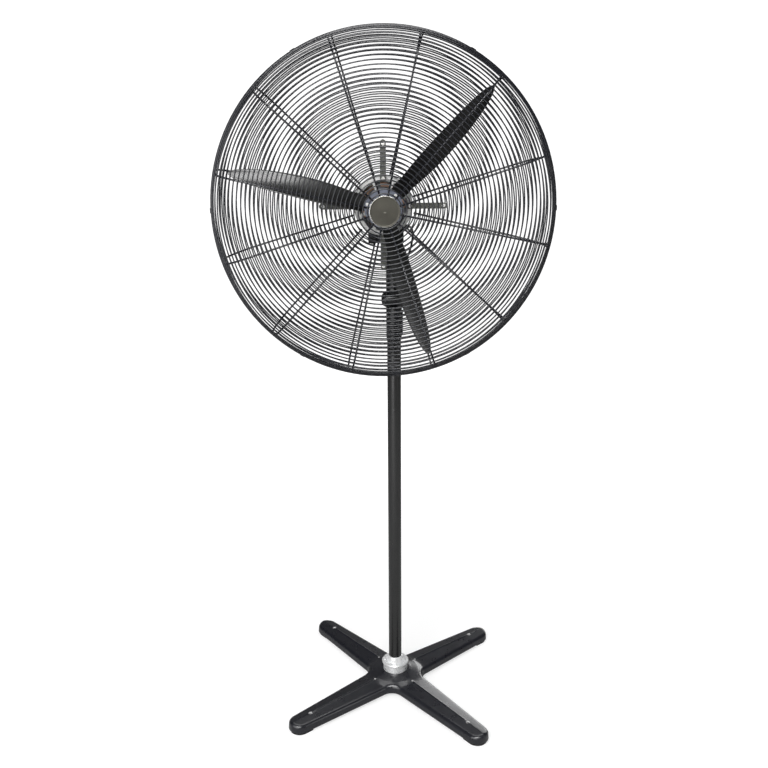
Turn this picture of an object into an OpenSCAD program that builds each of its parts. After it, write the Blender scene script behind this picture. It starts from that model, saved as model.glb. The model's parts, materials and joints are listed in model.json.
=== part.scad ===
// Industrial pedestal fan, 750 mm sweep. Millimetres, +Z up.
// Origin: on the floor, on the axis of the pole. The fan faces -Y.

/* [Base] */
// Radius of the circle through the four hold-down holes
hold_down_r = 300; // [270:5:320]
// Radius of the rounded end of each leg
leg_end_r = 31; // [26:1:36]
// Distance from the pole axis to the very end of a leg
leg_reach = 365; // [360:5:400]
// Angle of the first leg about the pole
leg_turn = 38; // [0:1:89]
// Height of the ridge of a leg at the middle of the base
ridge_inner_z = 42; // [38:1:50]
// Height of the ridge of a leg at its end
ridge_outer_z = 31; // [26:1:36]

/* [Pole] */
// Outside radius of the pole
pole_r = 18; // [16:0.5:18]
// Height of the tilt pivot
tilt_z = 1130; // [900:5:1135]

/* [Head] */
// Height of the fan axis above the tilt pivot
head_rise = 239; // [234:1:260]
// Radius of the circle that the blade tips sweep
blade_tip_r = 372; // [350:1:376]
// Number of blades
blade_count = 3; // [3:1:5]
// Radius of the guard's widest ring, at the wire's centre
rim_r = 399; // [390:1:420]
// Number of spokes in each half of the guard
spoke_count = 12; // [8:1:16]
// Thickness of the ring wire
ring_wire = 3.3; // [2.5:0.1:3.5]
// Thickness of the spoke wire
spoke_wire = 4.5; // [3.5:0.1:5]

/* [Hidden] */
$fn = 64;

big = 500;          // longer than any cut has to be
cut = 1;            // how far a cutting tool runs past a face
wire_gap = 0.05;    // air between touching wires
ring_sides = 8;     // flats round a ring's wire, few because there are so many rings
run_fit = 0.06;     // radial clearance of a running fit

leg_end_s = leg_reach - leg_end_r;
leg_inner_half = 51;    // half-width that a leg's side lines have at the pole axis
leg_taper = (leg_inner_half - leg_end_r) / leg_end_s;
notch_r = 34;           // rounding between neighbouring legs
leg_under_inner = 14;   // height of a leg's underside at the middle
leg_under_outer = 6;    // height of a leg's underside at its end
ridge_drop = 5;         // how far a leg's top falls from its ridge to its edges
boss_r = 9;             // bosses under the hold-down holes, which reach the floor
dome_top = 46;          // height of the raised middle of the base
collar_body_r = 34.5;
collar_r = 38;          // the collar's top flange
collar_top = 72;
sleeve_top = 88;        // top of the cone that grips the pole

pole_top = tilt_z - 38;
fan_z = tilt_z + head_rise;
worm_pitch_r = 6;
worm_module = 1.4;
wheel_teeth = 30;
// The fan axis lies beside the pole axis, so that the worm meets its wheel.
fan_x = -(worm_pitch_r + worm_module * wheel_teeth / 2);

shaft_r = 6;
bearing_r = 16;
motor_r = 72;
motor_front = -54;
shell_front = -38;
shell_rear = 20;
bell_rear = 38;
motor_bolt_r = 65;

front_face_y = -220;    // ring plane of the front of the guard
front_bend = 71;        // rounding of the front shoulder
front_first = 39.7;     // radius of the first front ring
front_pitch = 10.1;
rear_face_y = -48;      // ring plane of the back of the guard
rear_bend = 75;         // rounding of the rear shoulder
rear_first = 79.7;      // radius of the first rear ring
rear_pitch = 10.24;
rear_sparse = 410;      // past this place on the rear shell only every second ring is left
hoop_wire = 5;
front_hoop_y = -148;
rear_hoop_y = -142.5;
spoke_inset = (ring_wire + spoke_wire) / 2 + wire_gap;
front_spoke_turn = 3;   // how far each half of the guard is turned from its even place
rear_spoke_turn = 1.75;

hub_y = -122;           // front face of the hub's disc
hub_disc_r = 46;
blade_root_r = 22;
blade_free_r = 50;      // where the blade leaves the hub

spindle_r = 10;
column_r = 20;
column_top = fan_z - 107;
bush_bore_r = 13;
lead_z = column_top - 54;   // where the lead goes into the neck
arm_z = column_top - 14;    // underside of the slotted arm
crank_y = 66;           // crank axis, straight behind the pan axis
crank_throw = 46;
crank_pin_r = 5;
slot_half = 7.7;        // half-width of the slot, wider than the pin so that the linkage can run open
wheel_y = 96;           // worm wheel axis
gear_module = 1.5;
box_x0 = -62;
box_x1 = 36;
box_z0 = fan_z - 41;
box_z1 = fan_z + 27;
boss_bottom = column_top + 14;  // lower end of the crank shaft's long bearing
box_rear = 132;
switch_rear = 172;

// ---------- helpers ----------

// Children drawn about Z are laid on the fan axis, with local +Z along world +Y.
module on_fan_axis() {
    translate([fan_x, 0, fan_z]) rotate([-90, 0, 0]) children();
}

// One copy at angle a, seen from the front and counted from +X towards +Z.
module at_angle(a) {
    rotate([0, 0, -a]) children();
}

module ring_of(r, wire, at, sides) {
    translate([0, 0, at]) rotate_extrude($fn = 96) translate([r, 0]) rotate(180 / sides)
        circle(d = wire, $fn = sides);
}

module disc(r, from, to) {
    translate([0, 0, from]) cylinder(r = r, h = to - from);
}

module tube(r_out, r_in, from, to) {
    difference() {
        disc(r_out, from, to);
        disc(r_in, from - cut, to + cut);
    }
}

// A rod along X.
module rod_x(r, from, to) {
    translate([from, 0, 0]) rotate([0, 90, 0]) cylinder(r = r, h = to - from);
}

// A socket-head screw that points down local -Z, with its head seated at z = 0.
module cap_screw(r, length) {
    head_r = 1.8 * r;
    difference() {
        union() {
            translate([0, 0, -length]) cylinder(r = r, h = length + cut, $fn = 32);
            cylinder(r = head_r, h = 2 * r, $fn = 32);
        }
        translate([0, 0, r]) cylinder(r = r, h = 2 * r, $fn = 6);
    }
}

// Straight-sided spur gear, thin-toothed so that it meshes with backlash.
module spur_gear(teeth, m, bore_r, thickness) {
    pitch_r = m * teeth / 2;
    root = pitch_r - 1.15 * m;
    tip = pitch_r + 0.8 * m;
    step = 360 / teeth;
    outline = [for (i = [0:teeth - 1], p = [[-0.34, root], [-0.12, tip], [0.12, tip], [0.34, root]])
        p[1] * [cos((i + p[0]) * step), sin((i + p[0]) * step)]];
    linear_extrude(thickness) difference() {
        polygon(outline);
        circle(r = bore_r);
    }
}

// A closed skin over rings of points that all have the same even count.
module loft(rings) {
    n = len(rings[0]);
    last = (len(rings) - 1) * n;
    walls = [for (i = [0:len(rings) - 2], k = [0:n - 1], up = [0, 1])
        let(a = i * n + k, b = i * n + (k + 1) % n) up == 0 ? [a, b, b + n] : [a, b + n, a + n]];
    caps = [for (k = [0:n / 2 - 2], top = [0, last], up = [0, 1])
        let(a = top + k, b = top + k + 1, c = top + n - 2 - k, d = top + n - 1 - k)
        top == 0 ? (up == 0 ? [a, d, c] : [a, c, b]) : (up == 0 ? [a, b, c] : [a, c, d])];
    polyhedron([for (ring = rings, p = ring) p], concat(walls, caps));
}

// ---------- base ----------

function leg_half(s) = leg_inner_half - leg_taper * s;

// The cross seen from above: four tapering legs with rounded ends and rounded inner corners.
module cross_outline() {
    // A circle centred at [c, c] between two legs touches the side lines of both.
    c = (leg_inner_half + notch_r * norm([1, leg_taper])) / (1 + leg_taper);
    rotate(leg_turn) difference() {
        union() {
            for (k = [0:3]) rotate(90 * k) {
                polygon([[0, -leg_half(0)], [leg_end_s, -leg_end_r],
                    [leg_end_s, leg_end_r], [0, leg_half(0)]]);
                translate([leg_end_s, 0]) circle(r = leg_end_r);
            }
            square(2 * c, center = true);
        }
        for (x = [-c, c], y = [-c, c]) translate([x, y]) circle(r = notch_r);
    }
}

// The space that one leg may fill: a long roof whose ridge falls towards the end.
module leg_roof() {
    half = leg_inner_half + 30;
    s1 = leg_reach + 5;
    drop = ridge_drop * half / leg_end_r;
    inner = [[0, -half, leg_under_inner], [0, half, leg_under_inner],
        [0, half, ridge_inner_z - drop], [0, 0, ridge_inner_z], [0, -half, ridge_inner_z - drop]];
    outer = [[s1, -half, leg_under_outer], [s1, half, leg_under_outer],
        [s1, half, ridge_outer_z - drop], [s1, 0, ridge_outer_z], [s1, -half, ridge_outer_z - drop]];
    polyhedron(concat(inner, outer), [[0, 1, 2, 3, 4], [9, 8, 7, 6, 5],
        [0, 5, 6, 1], [1, 6, 7, 2], [2, 7, 8, 3], [3, 8, 9, 4], [4, 9, 5, 0]]);
}

module base_cross() {
    bore_r = pole_r + run_fit;
    color([0.03, 0.03, 0.035]) difference() {
        union() {
            intersection() {
                linear_extrude(ridge_inner_z + cut) cross_outline();
                union() for (k = [0:3]) rotate(leg_turn + 90 * k) leg_roof();
            }
            rotate_extrude($fn = 96) polygon([[0, leg_under_inner], [60, leg_under_inner], [66, 30], [66, 37],
                [63, 41], [57, 44], [40, dome_top], [0, dome_top]]);
            for (k = [0:3]) rotate(leg_turn + 90 * k) translate([hold_down_r, 0, 0])
                cylinder(r = boss_r, h = leg_under_inner);
        }
        disc(bore_r, 0, dome_top + cut);
        disc(pole_r + 14, 0, 30);
        for (k = [0:3]) rotate(leg_turn + 90 * k) translate([hold_down_r, 0, -cut]) cylinder(r = 4.5, h = 60);
    }
}

module foot_pads() {
    pad_start = hold_down_r + boss_r + 1;
    pad_half = leg_end_r - 4;
    color([0.05, 0.05, 0.05]) for (k = [0:3]) rotate(leg_turn + 90 * k) difference() {
        linear_extrude(leg_under_outer + 4) {
            intersection() {
                translate([leg_end_s, 0]) circle(r = pad_half);
                translate([leg_end_s, -pad_half]) square([pad_half, 2 * pad_half]);
            }
            translate([pad_start, -pad_half]) square([leg_end_s - pad_start + cut, 2 * pad_half]);
        }
        leg_roof();
    }
}

module base_collar() {
    color([0.75, 0.76, 0.78]) difference() {
        rotate_extrude($fn = 96) polygon([[pole_r + run_fit, dome_top], [collar_body_r, dome_top],
            [collar_body_r, collar_top - 6], [collar_r, collar_top - 4.5], [collar_r, collar_top - 1.5],
            [collar_r - 1.5, collar_top], [collar_r - 7, collar_top], [collar_r - 8.5, collar_top - 6],
            [pole_r + 7, collar_top - 6], [pole_r + 5.5, collar_top + 1], [pole_r + 4, collar_top + 9],
            [pole_r + 1.5, sleeve_top - 1], [pole_r + run_fit, sleeve_top]]);
        for (k = [0:2]) rotate(120 * k + 90) translate([0, 0, dome_top + 5]) rod_x(3, 0, big);
    }
}

module collar_screws() {
    color([0.25, 0.25, 0.27]) for (k = [0:2]) rotate(120 * k + 90)
        translate([0, 0, dome_top + 5]) difference() {
            rod_x(3, pole_r + 0.1, collar_body_r - 0.5);
            translate([collar_body_r - 3, 0, 0]) rotate([0, 90, 0]) cylinder(r = 1.6, h = 4, $fn = 6);
        }
}

module pole() {
    color([0.10, 0.10, 0.11]) difference() {
        tube(pole_r, pole_r - 2, 22, pole_top);
        translate([0, 0, 100]) rotate([0, 0, 90]) rod_x(6, 0, big);
    }
}

module pole_lock_nut() {
    color([0.6, 0.6, 0.62]) difference() {
        translate([0, 0, 18]) cylinder(r = 30, h = 12, $fn = 6);
        disc(pole_r + run_fit, 0, big);
    }
}

// Where the mains cord leaves the pole, at the back.
module cord_gland() {
    color([0.04, 0.04, 0.04]) translate([0, 0, 100]) rotate([0, 0, 90]) difference() {
        union() {
            rod_x(5.9, pole_r - 1.9, pole_r + 3);
            rod_x(9, pole_r + 1, pole_r + 10);
        }
        rod_x(3.6, 0, big);
    }
}

// ---------- tilt joint ----------

ear_r = 21;
ear_in = 12;
ear_out = 20;
pivot_r = 6;
socket_low = tilt_z - 100;
socket_top = tilt_z - 23;
socket_screw_z = [tilt_z - 80, tilt_z - 50];

module neck_socket() {
    color([0.09, 0.09, 0.10]) difference() {
        union() {
            disc(column_r, socket_low, socket_top);
            disc(pole_r + 1.2, socket_low - 6, socket_low + cut);
            translate([column_r - 4, -6, socket_low + 6]) cube([7, 12, 60]);
            for (side = [-1, 1]) translate([0, 0, tilt_z])
                rod_x(ear_r, side > 0 ? ear_in : -ear_out, side > 0 ? ear_out : -ear_in);
            for (side = [-1, 1]) translate([side > 0 ? ear_in : -ear_out, -16, socket_top - 7])
                cube([ear_out - ear_in, 32, tilt_z - socket_top + 7]);
        }
        disc(pole_r + run_fit, 0, pole_top + cut);
        disc(9, 0, tilt_z);
        translate([0, 0, tilt_z]) rod_x(pivot_r + run_fit, -big, big);
        translate([0, 0, tilt_z]) rod_x(ear_r + 1.5, -ear_in, ear_in);
        for (z = socket_screw_z) translate([0, 0, z]) rod_x(3, 0, big);
    }
}

module socket_screws() {
    color([0.3, 0.3, 0.32]) for (z = socket_screw_z) translate([0, 0, z]) difference() {
        rod_x(3, pole_r + 0.1, column_r + 2.5);
        translate([column_r, 0, 0]) rotate([0, 90, 0]) cylinder(r = 1.6, h = 4, $fn = 6);
    }
}

module tilt_bolt() {
    color([0.12, 0.12, 0.13]) translate([0, 0, tilt_z]) {
        rod_x(pivot_r, -ear_out - 1, 43);
        rotate([0, -90, 0]) rotate_extrude() polygon([[0, ear_out], [20, ear_out], [20, 22], [17, 27],
            [12, 30.5], [6, 32], [0, 32]]);
    }
}

module tilt_washer() {
    color([0.7, 0.7, 0.72]) translate([0, 0, tilt_z]) difference() {
        rod_x(13, ear_out, ear_out + 1.6);
        rod_x(pivot_r + run_fit, 0, big);
    }
}

module tilt_knob() {
    lobes = 6;
    color([0.06, 0.06, 0.06]) translate([0, 0, tilt_z]) difference() {
        union() {
            rod_x(10, 21.9, 32);
            rod_x(20.5, 28, 46);
        }
        for (k = [0:lobes - 1]) rotate([360 / lobes * k, 0, 0]) translate([0, 24, 0]) rod_x(6.5, 20, 50);
        rod_x(pivot_r + run_fit, 0, 43.5);
    }
}

// ---------- neck ----------

module neck_column() {
    color([0.09, 0.09, 0.10]) difference() {
        union() {
            disc(column_r, tilt_z + ear_r + 1.5, column_top);
            translate([0, 0, tilt_z]) rod_x(ear_r, -ear_in + 0.3, ear_in - 0.3);
            translate([-ear_in + 0.3, -15, tilt_z]) cube([2 * ear_in - 0.6, 30, 30]);
        }
        translate([0, 0, tilt_z]) rod_x(pivot_r + run_fit, -big, big);
        disc(bush_bore_r, column_top - 92, column_top + cut);
        translate([0, 0, lead_z]) rod_x(6, 0, big);
    }
}

module spindle_bushes() {
    color([0.72, 0.5, 0.2]) for (z = [column_top - 86, column_top - 24])
        tube(bush_bore_r, spindle_r + run_fit, z, z + 24);
}

module thrust_washer() {
    color([0.8, 0.8, 0.82]) tube(19, spindle_r + 0.3, column_top, column_top + 1.7);
}

// Fixed to the neck. The crank's pin rides in its slot and swings the head about the neck.
module slotted_arm() {
    slot_in = 66;
    slot_out = 117;
    arm_half = 13;
    color([0.55, 0.56, 0.58]) difference() {
        union() {
            disc(29, arm_z, arm_z + 10);
            translate([-arm_half, 0, arm_z]) cube([2 * arm_half, slot_out, 7]);
            translate([0, slot_out, arm_z]) cylinder(r = arm_half, h = 7);
        }
        disc(column_r + run_fit, 0, fan_z);
        translate([-slot_half, slot_in, 0]) cube([2 * slot_half, slot_out - slot_in, fan_z]);
        for (y = [slot_in, slot_out]) translate([0, y, 0]) disc(slot_half, 0, fan_z);
        translate([0, 0, arm_z + 5]) rod_x(2.5, -big, 0);
    }
}

module arm_screw() {
    color([0.3, 0.3, 0.32]) translate([0, 0, arm_z + 5]) difference() {
        rod_x(2.5, -31, -column_r - 0.1);
        translate([-33, 0, 0]) rotate([0, 90, 0]) cylinder(r = 1.3, h = 4, $fn = 6);
    }
}

// The lead from the motor goes into the hollow neck here.
module lead_gland() {
    color([0.04, 0.04, 0.04]) difference() {
        union() {
            translate([0, 0, lead_z]) rod_x(5.9, bush_bore_r + 0.5, 24);
            translate([30, 0, lead_z - 8]) cylinder(r = 8, h = 18);
            translate([column_r + 0.2, -6, lead_z - 6]) cube([10, 12, 12]);
        }
        translate([30, 0, lead_z + 2]) cylinder(r = 3.6, h = 20);
        translate([0, 0, lead_z]) rod_x(3.6, 0, 30);
    }
}

// ---------- head: pan spindle and cradle ----------

cradle_z = column_top + 14;
cradle_screw_x = [fan_x - 27, fan_x + 27];
cradle_screw_y = [-15.5, 15.5];
cradle_screw_r = 2.5;

module pan_spindle() {
    color([0.62, 0.63, 0.65]) disc(spindle_r, column_top - 88, cradle_z + 10);
}

module motor_cradle() {
    color([0.10, 0.10, 0.11]) difference() {
        union() {
            disc(24, column_top + 2, cradle_z + 10);
            translate([fan_x - 37, -26, cradle_z]) cube([88, 52, 34]);
        }
        disc(spindle_r + 0.01, column_top, cradle_z + 10);
        on_fan_axis() disc(motor_r + 0.1, -100, 100);
        for (x = cradle_screw_x, y = cradle_screw_y) translate([x, y, 0]) {
            disc(cradle_screw_r + 0.05, 0, fan_z);
            disc(2 * cradle_screw_r, 0, cradle_z);
        }
    }
}

module cradle_screws() {
    color([0.6, 0.6, 0.62]) for (x = cradle_screw_x, y = cradle_screw_y)
        translate([x, y, cradle_z]) rotate([180, 0, 0]) cap_screw(cradle_screw_r, 29);
}

// ---------- motor ----------

bar_count = 8;

module front_bell() {
    color([0.62, 0.64, 0.66]) on_fan_axis() difference() {
        union() {
            rotate_extrude($fn = 96) polygon([[60, motor_front], [69, motor_front], [motor_r, motor_front + 3],
                [motor_r, shell_front], [68, shell_front], [68, motor_front + 5], [60, motor_front + 5]]);
            rotate_extrude($fn = 96) polygon([[shaft_r + 1, -60], [14, -60], [21, -54], [21, -43],
                [bearing_r, -43], [bearing_r, -53], [shaft_r + 1, -53]]);
            for (k = [0:bar_count - 1]) at_angle(360 / bar_count * (k + 0.5))
                translate([19, -3.5, motor_front + 0.5]) cube([43, 7, 5.5]);
        }
        for (k = [0:3]) at_angle(90 * k) translate([motor_bolt_r, 0, -80]) cylinder(r = 2.6, h = 60);
    }
}

module motor_shell() {
    fins = 6;
    color([0.12, 0.12, 0.13]) on_fan_axis() difference() {
        union() {
            disc(motor_r - 1, shell_front, shell_rear);
            for (k = [0:fins - 1]) disc(motor_r, shell_front + 4 + 10 * k, shell_front + 7 + 10 * k);
        }
        disc(68, -200, 200);
        rotate([90, 0, 0]) translate([-fan_x, 0, -fan_z]) {
            translate([0, gland_point[1], gland_point[2]]) rod_x(6.05, 14, big);
            for (x = cradle_screw_x, y = cradle_screw_y)
                translate([x, y, 0]) disc(cradle_screw_r + 0.05, cradle_z, cradle_z + 31);
        }
    }
}

module rear_bell() {
    color([0.12, 0.12, 0.13]) on_fan_axis() difference() {
        union() {
            rotate_extrude($fn = 96) polygon([[bearing_r, bell_rear - 4], [bearing_r, bell_rear - 14],
                [21, bell_rear - 14], [21, bell_rear - 5], [60, bell_rear - 5],
                [68, shell_rear + 6], [68, shell_rear], [motor_r, shell_rear], [motor_r, shell_rear + 8],
                [62, bell_rear], [shaft_r + 1, bell_rear],
                [shaft_r + 1, bell_rear - 4]]);
            for (k = [0:3]) at_angle(90 * k) translate([motor_bolt_r, 0, shell_rear + 1]) cylinder(r = 4, h = 8);
        }
        for (k = [0:3]) at_angle(90 * k) translate([motor_bolt_r, 0, -80]) cylinder(r = 2.6, h = 104);
    }
}

slot_count = 12;
coil_r = 50;

module stator_core() {
    color([0.45, 0.46, 0.48]) on_fan_axis() difference() {
        disc(67.98, -18, 8);
        disc(38.2, -100, 100);
        for (k = [0:slot_count - 1]) at_angle(360 / slot_count * k) translate([coil_r, 0, 0]) disc(4.2, -100, 100);
        for (k = [0:3]) at_angle(90 * k) translate([motor_bolt_r + 1, 0, 0]) disc(4, -100, 100);
    }
}

// Each coil goes through two neighbouring slots and bulges out at both ends of the core.
module stator_windings() {
    overhang = 7;
    color([0.72, 0.38, 0.2]) on_fan_axis() for (k = [0:slot_count / 2 - 1]) at_angle(60 * k + 30) {
        for (z = [-25, 15]) translate([0, 0, z]) rotate([0, 0, -overhang])
            rotate_extrude(angle = 30 + 2 * overhang) translate([coil_r, 0]) circle(r = 6, $fn = 32);
        for (a = [0, 30]) rotate([0, 0, a]) translate([coil_r, 0, -24]) cylinder(r = 3.9, h = 38);
    }
}

module motor_bolts() {
    color([0.85, 0.84, 0.8]) on_fan_axis() for (k = [0:3]) at_angle(90 * k)
        translate([motor_bolt_r, 0, motor_front - 3.1]) rotate([180, 0, 0]) cap_screw(2.5, 79);
}

module bearings() {
    color([0.8, 0.8, 0.82]) on_fan_axis() for (y = [-53, bell_rear - 14]) {
        tube(bearing_r - 0.01, 13.2, y, y + 10);
        tube(9.2, shaft_r + 0.05, y, y + 10);
        tube(13.1, 9.3, y + 1, y + 1.6);
        for (a = [0:45:315]) rotate([0, 0, a]) translate([11.2, 0, y + 5]) sphere(r = 1.9, $fn = 24);
    }
}

// The lead leaves the lower right of the motor, behind the guard.
gland_point = [36, -28, column_top + 54];

module motor_gland() {
    color([0.05, 0.05, 0.05]) translate(gland_point - [6, 0, 0]) difference() {
        rod_x(6, -12, 6);
        rod_x(2.6, -20, 20);
    }
}

lead_r = 2.5;
lead_route = [for (p = [[36, -28, 54], [42, -28, 52], [46, -26, 42], [46, -22, 24], [42, -14, 0],
    [34, -6, -26], [30, 0, -37], [30, 0, -43.7]]) p + [0, 0, column_top]];

function blend(a, b, t) = a * (1 - t) + b * t;
// A Catmull-Rom curve through the route's points.
function route_point(r, i, t) = let(
    n = len(r), p0 = r[max(i - 1, 0)], p1 = r[i], p2 = r[i + 1], p3 = r[min(i + 2, n - 1)])
    0.5 * (2 * p1 + (p2 - p0) * t + (2 * p0 - 5 * p1 + 4 * p2 - p3) * t * t
        + (3 * p1 - p0 - 3 * p2 + p3) * t * t * t);
function route_path(r, steps) = concat(
    [for (i = [0:len(r) - 2], j = [0:steps - 1]) route_point(r, i, j / steps)], [r[len(r) - 1]]);
function unit(v) = v / norm(v);

// Rings of points for a tube of the given radius along a path.
function tube_rings(path, radius, sides) = let(n = len(path), side = [0, 1, 0])
    [for (i = [0:n - 1]) let(
            t = unit(path[min(i + 1, n - 1)] - path[max(i - 1, 0)]),
            u = unit(cross(t, side)), v = cross(u, t))
        [for (k = [0:sides - 1]) path[i] + radius * (u * cos(360 * k / sides) + v * sin(360 * k / sides))]];

module motor_lead() {
    color([0.03, 0.03, 0.03]) loft(tube_rings(route_path(lead_route, 5), lead_r, 8));
}

// ---------- rotor ----------

module rotor_shaft() {
    color([0.75, 0.76, 0.78]) on_fan_axis() {
        disc(shaft_r, -132, wheel_y - 10);
        disc(worm_bore_r - 0.01, wheel_y - 10, wheel_y + 12);
    }
}

module rotor_core() {
    color([0.55, 0.56, 0.58]) on_fan_axis() {
        tube(37.6, shaft_r + 0.01, -18, 8);
        tube(36, 26, -24, -18);
        tube(36, 26, 8, 14);
    }
}

worm_turns = 4;
worm_lead = worm_module * PI;
worm_length = worm_turns * worm_lead;
worm_bore_r = 3;

// Single-start worm, cut in a sleeve on the end of the motor shaft.
module worm() {
    root = 4.7;
    crest = worm_pitch_r + 0.9;
    slices = 9 * worm_turns;
    thread = [for (a = [10:20:350]) let(away = min(a, 360 - a)) [a, away < 35 ? crest : away > 75 ? root : 6]];
    color([0.7, 0.7, 0.72]) on_fan_axis() translate([0, 0, wheel_y - worm_length / 2]) difference() {
        loft([for (i = [0:slices]) let(turn = 180 + 360 * worm_turns * i / slices)
            [for (p = thread) [p[1] * cos(p[0] + turn), p[1] * sin(p[0] + turn), worm_length * i / slices]]]);
        disc(worm_bore_r, -cut, worm_length + cut);
    }
}

module blade_hub() {
    color([0.35, 0.38, 0.45]) on_fan_axis() difference() {
        union() {
            disc(hub_disc_r, hub_y, hub_y + 4);
            disc(15, hub_y - 2, hub_y + 26);
        }
        disc(shaft_r + 0.01, -200, 0);
        for (k = [0:blade_count - 1], s = [0:1])
            at_angle(blade_angle(k)) translate([30 + 10 * s, 0, hub_y - 5]) cylinder(r = 2.1, h = 20);
    }
}

module hub_nut() {
    color([0.75, 0.75, 0.77]) on_fan_axis() difference() {
        translate([0, 0, hub_y - 9]) cylinder(r = 10, h = 7, $fn = 6);
        disc(shaft_r + 0.01, -200, 0);
    }
}

first_blade = 47;
function blade_angle(k) = first_blade + 360 / blade_count * k;

blade_thick = 2;
blade_root_chord = 34;
blade_swell = 23.5;
blade_lean = 5;
blade_stations = 24;
blade_steps = 8;
function blade_u(r) = (r - blade_free_r) / (blade_tip_r - blade_free_r);
// Leaf-shaped: narrow at the root, widest near the middle, rounded to a point.
function chord(r) = r < blade_free_r ? blade_root_chord : let(u = min(blade_u(r), 0.996))
    (blade_root_chord + blade_swell * sin(180 * pow(u, 0.7))) * sqrt(1 - pow(u, 9));
// How far the middle of the chord lies ahead of the line from the hub to the tip.
function lean(r) = r < blade_free_r ? 0 : blade_lean * sin(180 * blade_u(r));
// Pitch: flat on the hub, steep just outside it, easing to the tip.
function pitch_angle(r) = r < blade_free_r - 2 ? 0
    : min(1, (r - blade_free_r + 2) / 30) * (38 - 22 * blade_u(r));
function camber(r) = r < blade_free_r ? 0 : 0.07 * chord(r) * min(1, (r - blade_free_r) / 40);
function station_r(i) = i < 3 ? blade_root_r + (blade_free_r - blade_root_r) * i / 3
    : let(t = (i - 3) / (blade_stations - 3))
        blade_free_r + (blade_tip_r - blade_free_r) * (1 - pow(1 - t, 1.35));
function blade_point(r, t, side) = let(a = pitch_angle(r), x = t * chord(r) + lean(r),
        z = camber(r) * (1 - 4 * t * t) + side * blade_thick / 2)
    [r, x * cos(a) - z * sin(a), x * sin(a) + z * cos(a)];

// One blade along local +X. Its section is a thin cambered plate.
module blade() {
    side = [for (j = [0:blade_steps]) j / blade_steps - 0.5];
    loft([for (i = [0:blade_stations]) let(r = station_r(i)) concat(
        [for (t = side) blade_point(r, t, -1)], [for (t = side) blade_point(r, -t, 1)])]);
}

module fan_blades() {
    color([0.13, 0.13, 0.14]) on_fan_axis() for (k = [0:blade_count - 1]) at_angle(blade_angle(k))
        translate([0, 0, hub_y + 4 + blade_thick / 2 + wire_gap]) difference() {
            blade();
            for (s = [0:1]) translate([30 + 10 * s, 0, -5]) cylinder(r = 2.1, h = 10);
        }
}

module blade_rivets() {
    stack = 4 + blade_thick + wire_gap;
    color([0.8, 0.8, 0.8]) on_fan_axis() for (k = [0:blade_count - 1], s = [0:1]) at_angle(blade_angle(k))
        translate([30 + 10 * s, 0, hub_y]) {
            translate([0, 0, -1.6]) cylinder(r1 = 2.6, r2 = 3.8, h = 1.6, $fn = 32);
            translate([0, 0, -0.5]) cylinder(r = 2, h = stack + 1, $fn = 32);
            translate([0, 0, stack]) cylinder(r1 = 3.8, r2 = 2.6, h = 1.6, $fn = 32);
        }
}

// ---------- guard ----------

// Place of a ring's wire, by its distance s along the shell's profile from the fan axis.
// dir is +1 when the shell runs from its face towards +Y, and -1 when it runs towards -Y.
function shell_point(s, face_y, bend, dir) = let(
        flat_r = rim_r - bend, arc = bend * PI / 2, a = (s - flat_r) / bend * 180 / PI)
    s <= flat_r ? [s, face_y]
        : s <= flat_r + arc ? [flat_r + bend * sin(a), face_y + dir * bend * (1 - cos(a))]
        : [rim_r, face_y + dir * (bend + s - flat_r - arc)];

module shell_rings(first, pitch, from, to, sparse, face_y, bend, dir) {
    color([0.05, 0.05, 0.07]) on_fan_axis() for (k = [0:60]) {
        s = first + pitch * k;
        p = shell_point(s, face_y, bend, dir);
        left_out = s > sparse && k % 2 == 1;
        if (s > from && s <= to && !left_out) ring_of(p[0], ring_wire, p[1], ring_sides);
    }
}

front_flat = rim_r - front_bend;
rear_flat = rim_r - rear_bend;

module front_face_rings() {
    shell_rings(front_first, front_pitch, 0, front_flat, big, front_face_y, front_bend, 1);
}

module front_side_rings() {
    shell_rings(front_first, front_pitch, front_flat, 436, big, front_face_y, front_bend, 1);
}

module rear_face_rings() {
    shell_rings(rear_first, rear_pitch, 0, rear_flat, rear_sparse, rear_face_y, rear_bend, -1);
}

module rear_side_rings() {
    shell_rings(rear_first, rear_pitch, rear_flat, 450, rear_sparse, rear_face_y, rear_bend, -1);
}

// Spokes lie inside the rings: straight across the face, round the shoulder, then along the rim.
module spokes(start, face_y, bend, dir, end_y, turn) {
    inner = bend - spoke_inset;
    flat_r = rim_r - bend;
    y = face_y + dir * spoke_inset;
    bend_y = face_y + dir * bend;
    color([0.05, 0.05, 0.07]) on_fan_axis() for (k = [0:spoke_count - 1])
        at_angle(360 / spoke_count * (k + 0.5) + turn) {
            translate([start, 0, y]) rotate([0, 90, 0]) cylinder(d = spoke_wire, h = flat_r - start, $fn = 24);
            translate([flat_r, 0, bend_y]) rotate([dir * -90, 0, 0]) rotate_extrude(angle = 90)
                translate([inner, 0]) circle(d = spoke_wire, $fn = 24);
            translate([flat_r + inner, 0, min(bend_y, end_y)])
                cylinder(d = spoke_wire, h = abs(end_y - bend_y), $fn = 24);
        }
}

module front_spokes() {
    spokes(14, front_face_y, front_bend, 1, front_hoop_y + 3, front_spoke_turn);
}

module rear_spokes() {
    spokes(76, rear_face_y, rear_bend, -1, rear_hoop_y - 3, rear_spoke_turn);
}

// The two halves of the guard meet at a pair of thicker hoops.
module rim_hoops() {
    hoop_r = rim_r + (hoop_wire - ring_wire) / 2;
    color([0.05, 0.05, 0.06]) on_fan_axis() for (y = [front_hoop_y, rear_hoop_y])
        ring_of(hoop_r, hoop_wire, y, 24);
}

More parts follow.
